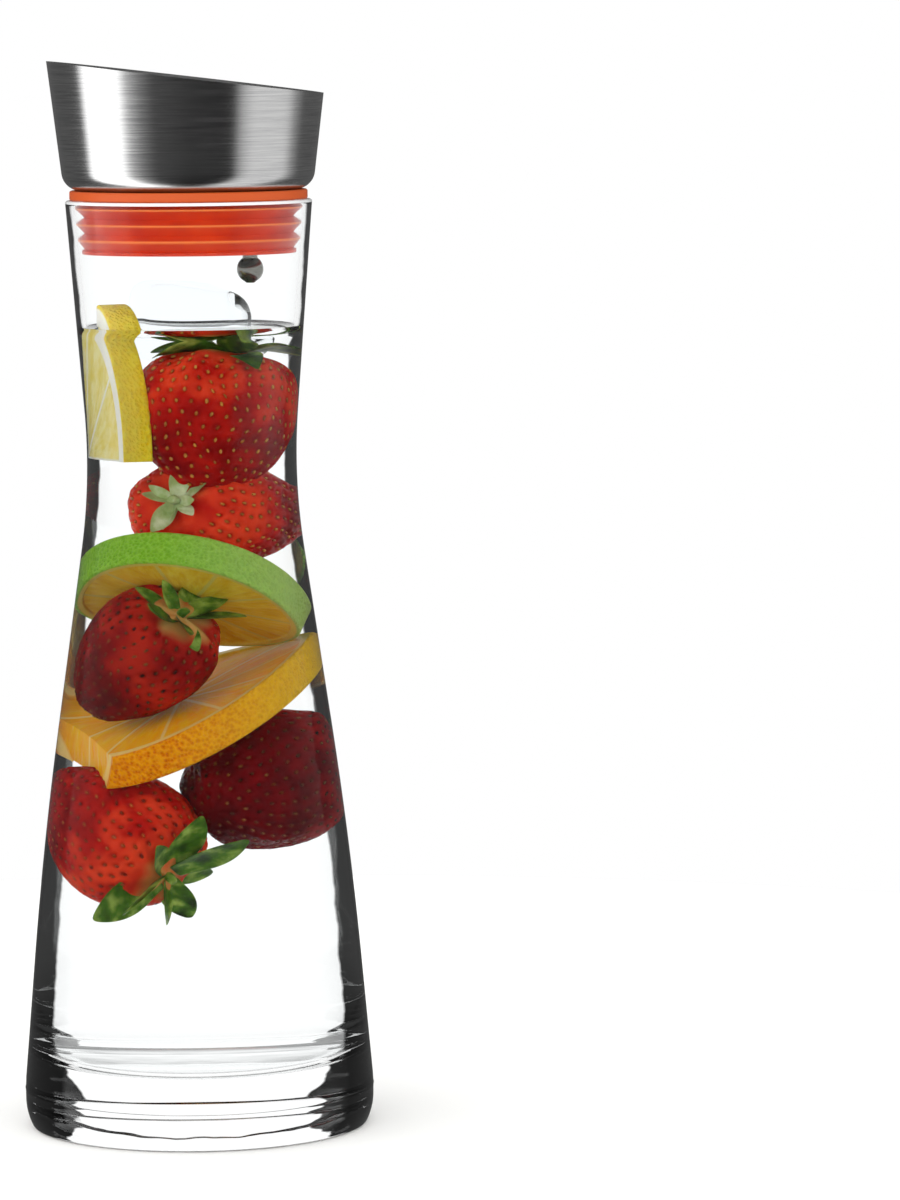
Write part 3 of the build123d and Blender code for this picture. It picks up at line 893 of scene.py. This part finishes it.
def slat_card():
    """Dark slats on edge that point at the axis: dark to light that crosses them askew, clear to the rest.

    Light that has crossed the middle of the glass passes between them, and light from its edges meets them.
    That draws the dark edges of clear glass from every side.
    """
    material = bpy.data.materials.new("dark_slats")
    material.use_nodes = True
    tree = material.node_tree
    place = add(tree, "ShaderNodeTexCoord").outputs["Object"]
    parts = add(tree, "ShaderNodeSeparateXYZ", {"Vector": place}).outputs
    # How far askew: along the broad side's own direction, which runs round the axis
    back = add(tree, "ShaderNodeMath", {0: parts["Y"], 1: -1.0}, operation="MULTIPLY").outputs[0]
    broadside = add(tree, "ShaderNodeCombineXYZ", {"X": back, "Y": parts["X"]}).outputs["Vector"]
    broadside = add(tree, "ShaderNodeVectorMath", {0: broadside}, operation="NORMALIZE").outputs["Vector"]
    slip = add(tree, "ShaderNodeLayerWeight", {"Blend": 0.5, "Normal": broadside}).outputs["Facing"]
    askew = add(tree, "ShaderNodeMath", {0: 1.0, 1: slip}, operation="SUBTRACT").outputs[0]
    height = add(
        tree, "ShaderNodeMapRange", {"Value": parts["Z"], "From Max": RIM_HEIGHT * MM}
    ).outputs["Result"]
    passing = add(
        tree, "ShaderNodeValToRGB", {"Fac": height},
        stops=[(z / RIM_HEIGHT, (gap, gap, gap, 1.0)) for z, gap in SLAT_GAPS],
    ).outputs["Color"]
    over = add(tree, "ShaderNodeMath", {0: askew, 1: passing}, operation="SUBTRACT").outputs[0]
    # The border between dark and clear wavers, most in the foot
    waver = add(
        tree, "ShaderNodeTexNoise", {"Vector": place, "Scale": 1 / (9 * MM), "Detail": 3.0}
    ).outputs["Fac"]
    sway = add(
        tree, "ShaderNodeMapRange",
        {"Value": parts["Z"], "From Min": 4 * MM, "From Max": 12 * MM, "To Min": 0.35, "To Max": 0.05},
    ).outputs["Result"]
    waver = add(tree, "ShaderNodeMath", {0: waver, 1: 0.5}, operation="SUBTRACT").outputs[0]
    waver = add(tree, "ShaderNodeMath", {0: waver, 1: sway}, operation="MULTIPLY").outputs[0]
    over = add(tree, "ShaderNodeMath", {0: over, 1: waver}, operation="ADD").outputs[0]
    met = add(tree, "ShaderNodeMapRange", {"Value": over, "From Max": 0.015}).outputs["Result"]
    # The light that falls on the fruit isn't held back
    path = add(tree, "ShaderNodeLightPath").outputs
    clear = add(
        tree, "ShaderNodeMath", {0: path["Diffuse Depth"], 1: 0.5}, operation="LESS_THAN"
    ).outputs[0]
    met = add(tree, "ShaderNodeMath", {0: met, 1: clear}, operation="MULTIPLY").outputs[0]
    # Blacker in the foot than above it
    level = add(
        tree, "ShaderNodeMapRange",
        {"Value": parts["Z"], "From Min": 20 * MM, "From Max": 40 * MM, "To Min": 0.008, "To Max": 0.035},
    ).outputs["Result"]
    black = add(tree, "ShaderNodeEmission", {"Strength": level}).outputs["Emission"]
    open_air = add(tree, "ShaderNodeBsdfTransparent").outputs["BSDF"]
    blend = add(tree, "ShaderNodeMixShader", {0: met, 1: open_air, 2: black}).outputs["Shader"]
    tree.links.new(blend, tree.nodes["Material Output"].inputs["Surface"])
    tree.nodes.remove(tree.nodes["Principled BSDF"])
    return material


def slat_skin():
    """A skin just off the glass that stands for the slats, which are too many and too thin to build."""
    out = SLAT_DISTANCE
    outline = [(FOOT + out, -2.0), (FOOT + out, BAND_TOP)]
    outline += [(r + out, z) for r, z in wall_points(OUTER, BAND_TOP + 3, RIM_HEIGHT)]
    piece = turned("dark_slats", outline)
    dress(piece, slat_card())
    # Only glass shows it
    piece.visible_camera = False
    piece.visible_diffuse = False
    piece.visible_glossy = False
    piece.visible_shadow = False
    return piece


def studio_world():
    """Key, fill and dome for matt things, soft boxes for mirrors, and a white card behind clear glass."""
    world = bpy.data.worlds.new("studio")
    bpy.context.scene.world = world
    world.use_nodes = True
    tree = world.node_tree
    direction = add(tree, "ShaderNodeTexCoord").outputs["Generated"]
    axes = add(tree, "ShaderNodeSeparateXYZ", {"Vector": direction}).outputs
    # What mirrors show: a ring of soft boxes and dark gaps, low round the floor, under a bright ceiling
    toward = add(tree, "ShaderNodeMath", {0: axes["Y"], 1: -1.0}, operation="MULTIPLY").outputs[0]
    azimuth = add(tree, "ShaderNodeMath", {0: axes["X"], 1: toward}, operation="ARCTAN2").outputs[0]
    around = add(
        tree, "ShaderNodeMapRange", {"Value": azimuth, "From Min": -math.pi, "From Max": math.pi}
    ).outputs["Result"]
    ring = add(
        tree, "ShaderNodeValToRGB", {"Fac": around},
        stops=[(degrees / 360 + 0.5, (level, level, level, 1.0)) for degrees, level in STUDIO_RING],
    ).outputs["Color"]
    boxes = add(tree, "ShaderNodeMath", {0: ring, 1: RING_LIGHT}, operation="MULTIPLY").outputs[0]
    low = add(
        tree, "ShaderNodeMapRange", {"Value": axes["Z"], "From Min": 0.0, "From Max": -0.12}
    ).outputs["Result"]
    boxes = add(tree, "ShaderNodeMix", {"Factor": low, 2: WALL_LIGHT, 3: boxes}, data_type="FLOAT").outputs[0]
    overhead = add(
        tree, "ShaderNodeMapRange", {"Value": axes["Z"], "From Min": 0.35, "From Max": 0.8},
        interpolation_type="SMOOTHSTEP",
    ).outputs["Result"]
    mirrored = add(
        tree, "ShaderNodeMix", {"Factor": overhead, 2: boxes, 3: CEILING_LIGHT}, data_type="FLOAT"
    ).outputs[0]
    # What lights matt things: a large key from the upper left front, a fill from the right and an even dome
    key_side = add(
        tree, "ShaderNodeVectorMath", {0: direction, 1: KEY_FROM}, operation="DOT_PRODUCT"
    ).outputs["Value"]
    key = add(
        tree, "ShaderNodeMapRange",
        {"Value": key_side, "From Min": 0.1, "From Max": 1.0, "To Min": DOME_LIGHT, "To Max": KEY_LIGHT},
    ).outputs["Result"]
    fill_side = add(
        tree, "ShaderNodeVectorMath", {0: direction, 1: FILL_FROM}, operation="DOT_PRODUCT"
    ).outputs["Value"]
    fill = add(
        tree, "ShaderNodeMapRange",
        {"Value": fill_side, "From Min": 0.2, "From Max": 1.0, "To Max": FILL_LIGHT},
    ).outputs["Result"]
    lamps = add(tree, "ShaderNodeMath", {0: key, 1: fill}, operation="ADD").outputs[0]
    # What shows through glass: a white card all round, under a grey ceiling
    backdrop = add(
        tree, "ShaderNodeMapRange",
        {"Value": axes["Z"], "From Min": 0.6, "From Max": 0.75, "To Min": 1.05, "To Max": 0.35},
    ).outputs["Result"]
    # Light that has met a matt thing on its way comes from the lamps, also through the glass
    path = add(tree, "ShaderNodeLightPath").outputs
    clear = add(
        tree, "ShaderNodeMath", {0: path["Diffuse Depth"], 1: 0.5}, operation="LESS_THAN"
    ).outputs[0]
    mirror_ray = add(
        tree, "ShaderNodeMath", {0: path["Is Glossy Ray"], 1: clear}, operation="MULTIPLY"
    ).outputs[0]
    through_ray = add(
        tree, "ShaderNodeMath", {0: path["Is Transmission Ray"], 1: clear}, operation="MULTIPLY"
    ).outputs[0]
    strength = lamps
    for ray, light in ((mirror_ray, mirrored), (through_ray, backdrop), (path["Is Camera Ray"], 1.0)):
        strength = add(
            tree, "ShaderNodeMix", {"Factor": ray, 2: strength, 3: light}, data_type="FLOAT"
        ).outputs[0]
    tree.links.new(strength, tree.nodes["Background"].inputs["Strength"])
    tree.nodes["Background"].inputs["Color"].default_value = (1, 1, 1, 1)


# The carafe and what is in it

INNER_WALL = wall_points(INNER, FLOOR + FLOOR_ROUND, RIM_HEIGHT, 1.0)
glass = glass_body()
dress_glass(glass)
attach(glass, "carafe")
water = water_body()
dress(water, still_water())
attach(water, "carafe")

SEED = seed_skin("straw_seed", "#9C461A", "#D4943E")
RED_SEED = seed_skin("ruddy_seed", "#70160E", "#C25A26")
DARK_SEED = seed_skin("brown_seed", "#3A0D0A", "#8A4A22")
LEAF = leaf_skin("strawberry_leaf", "#20380E", "#4C741E", "#A9C25A")
PALE_LEAF = leaf_skin("pale_strawberry_leaf", "#7C9350", "#A3B577", "#D3DBB4")
RIPE = ("#86090B", "#BE1810", "#E84222")
DEEP = ("#5E0709", "#8A0F0E", "#B82616")
DARK = ("#560509", "#76090E", "#941212")
# Number, place, turn (lean from upright, then heading), length, width, leaf curl, droop and size, and looks
strawberry(1, (6.0, -4.0, 204.6), (0, 8, 40), 41, 39, 0.7, 2.8, 1.25, RIPE, SEED, LEAF)
strawberry(2, (5.0, 6.0, 176.0), (0, 71, 240), 38, 35, 1.0, 0.0, 0.58, RIPE, SEED, PALE_LEAF)
strawberry(3, (-14.0, -9.5, 135.5), (0, 46, -45), 41, 35, 0.6, 0.0, 0.85, DEEP, DARK_SEED, LEAF)
strawberry(4, (14.0, 0.0, 98.0), (0, 75, 60), 43, 39, 0.4, 0.0, 0.8, DARK, DARK_SEED, LEAF)
strawberry(5, (-19.5, -5.0, 86.5), (0, 121, -50), 44, 37, 0.4, 0.0, 1.2, RIPE, RED_SEED, LEAF)

# Place, turn and stretch of each slice. The lemon is cut lengthwise and quartered, its cut end down
lemon_place = ((-22.6, 0.7, 194.0), (90, 0, -64.5), (0.4545, 1.0))
lime_place = ((0.0, -1.0, 155.0), (150, 15, 0), (1.0, 1.0))
orange_place = ((-1.0, 0.0, 119.5), (9, -28, 0), (1.0, 1.0))
# Each zest's third colour is painted light, laid on toward the right
citrus_slice(
    "lemon_slice", *lemon_place, radius=44, thickness=9.5, rind=6.0,
    cuts=((0.0, (-1, 0, 0)), (0.0, (0, -1, 0))),
    material=citrus_flesh(
        "lemon_flesh", *lemon_place, radius=44, rind=6.0, cells=9,
        zest="#FFD60A", oil_cell="#FFE534", painted_light_colour="#FFEC78",
        pith="#FFFCEC", dark_pulp="#F2DE70", light_pulp="#FFF4B4",
    ),
)
citrus_slice(
    "lime_slice", *lime_place, radius=27, thickness=10, rind=2.4, cuts=(),
    material=citrus_flesh(
        "lime_flesh", *lime_place, radius=27, rind=2.4, cells=9,
        zest="#7CB828", oil_cell="#94CA40", painted_light_colour="#C4DE86",
        pith="#E2CE5E", dark_pulp="#E4B422", light_pulp="#F6DA4C",
    ),
)
citrus_slice(
    "orange_slice", *orange_place, radius=33.5, thickness=10, rind=3.2,
    cuts=((22.96, (-0.89, 0.0, 0.454)),),
    material=citrus_flesh(
        "orange_flesh", *orange_place, radius=33.5, rind=3.2, cells=10,
        zest="#E86E00", oil_cell="#FFA810", painted_light_colour="#FFD83C",
        pith="#FFD27A", dark_pulp="#FF9E00", light_pulp="#FFC01C",
    ),
)
ice_cube("ice_cube_1", (-1.0, 9.0, 233.0), (5, 5, 20), 32, clear_ice())

# Lid
dress(nodes["silicone_plug"], orange_silicone())
dress(nodes["steel_collar"], brushed_steel("brushed_collar_steel", 0.45, 0.35, True))
for names, material in (
    (("flap_disc", "strainer_disc"), brushed_steel("brushed_sheet_steel", 0.5, 0.3, False)),
    (("hinge_barrel", "hinge_pin"), turned_steel("turned_steel", "#B4B4B6")),
    # Painted shade: the counterweight's polished steel is darker than the hinge's, standing in for the dark
    # surroundings it mirrors
    (("counterweight_stem", "counterweight_ball"), turned_steel("polished_steel_painted_dark", "#7A7974")),
    (("plug_core", "valve_seat"), moulded_plastic()),
):
    for name in names:
        dress(nodes[name], material)

# Camera, floor and light
camera = bpy.data.objects.new("camera", bpy.data.cameras.new("camera"))
bpy.context.scene.collection.objects.link(camera)
camera.data.lens = LENS
camera.data.sensor_width = SENSOR
camera.location = [c * MM for c in CAMERA_PLACE]
aim = Euler((math.radians(90 - CAMERA_PITCH), 0, math.radians(-CAMERA_YAW))).to_matrix()
camera.rotation_euler = (aim @ Matrix.Rotation(math.radians(CAMERA_ROLL), 3, "Z")).to_euler()
bpy.context.scene.camera = camera
floor = paper_floor()
slats = slat_skin()
studio_world()
bpy.context.scene.view_settings.view_transform = "Standard"
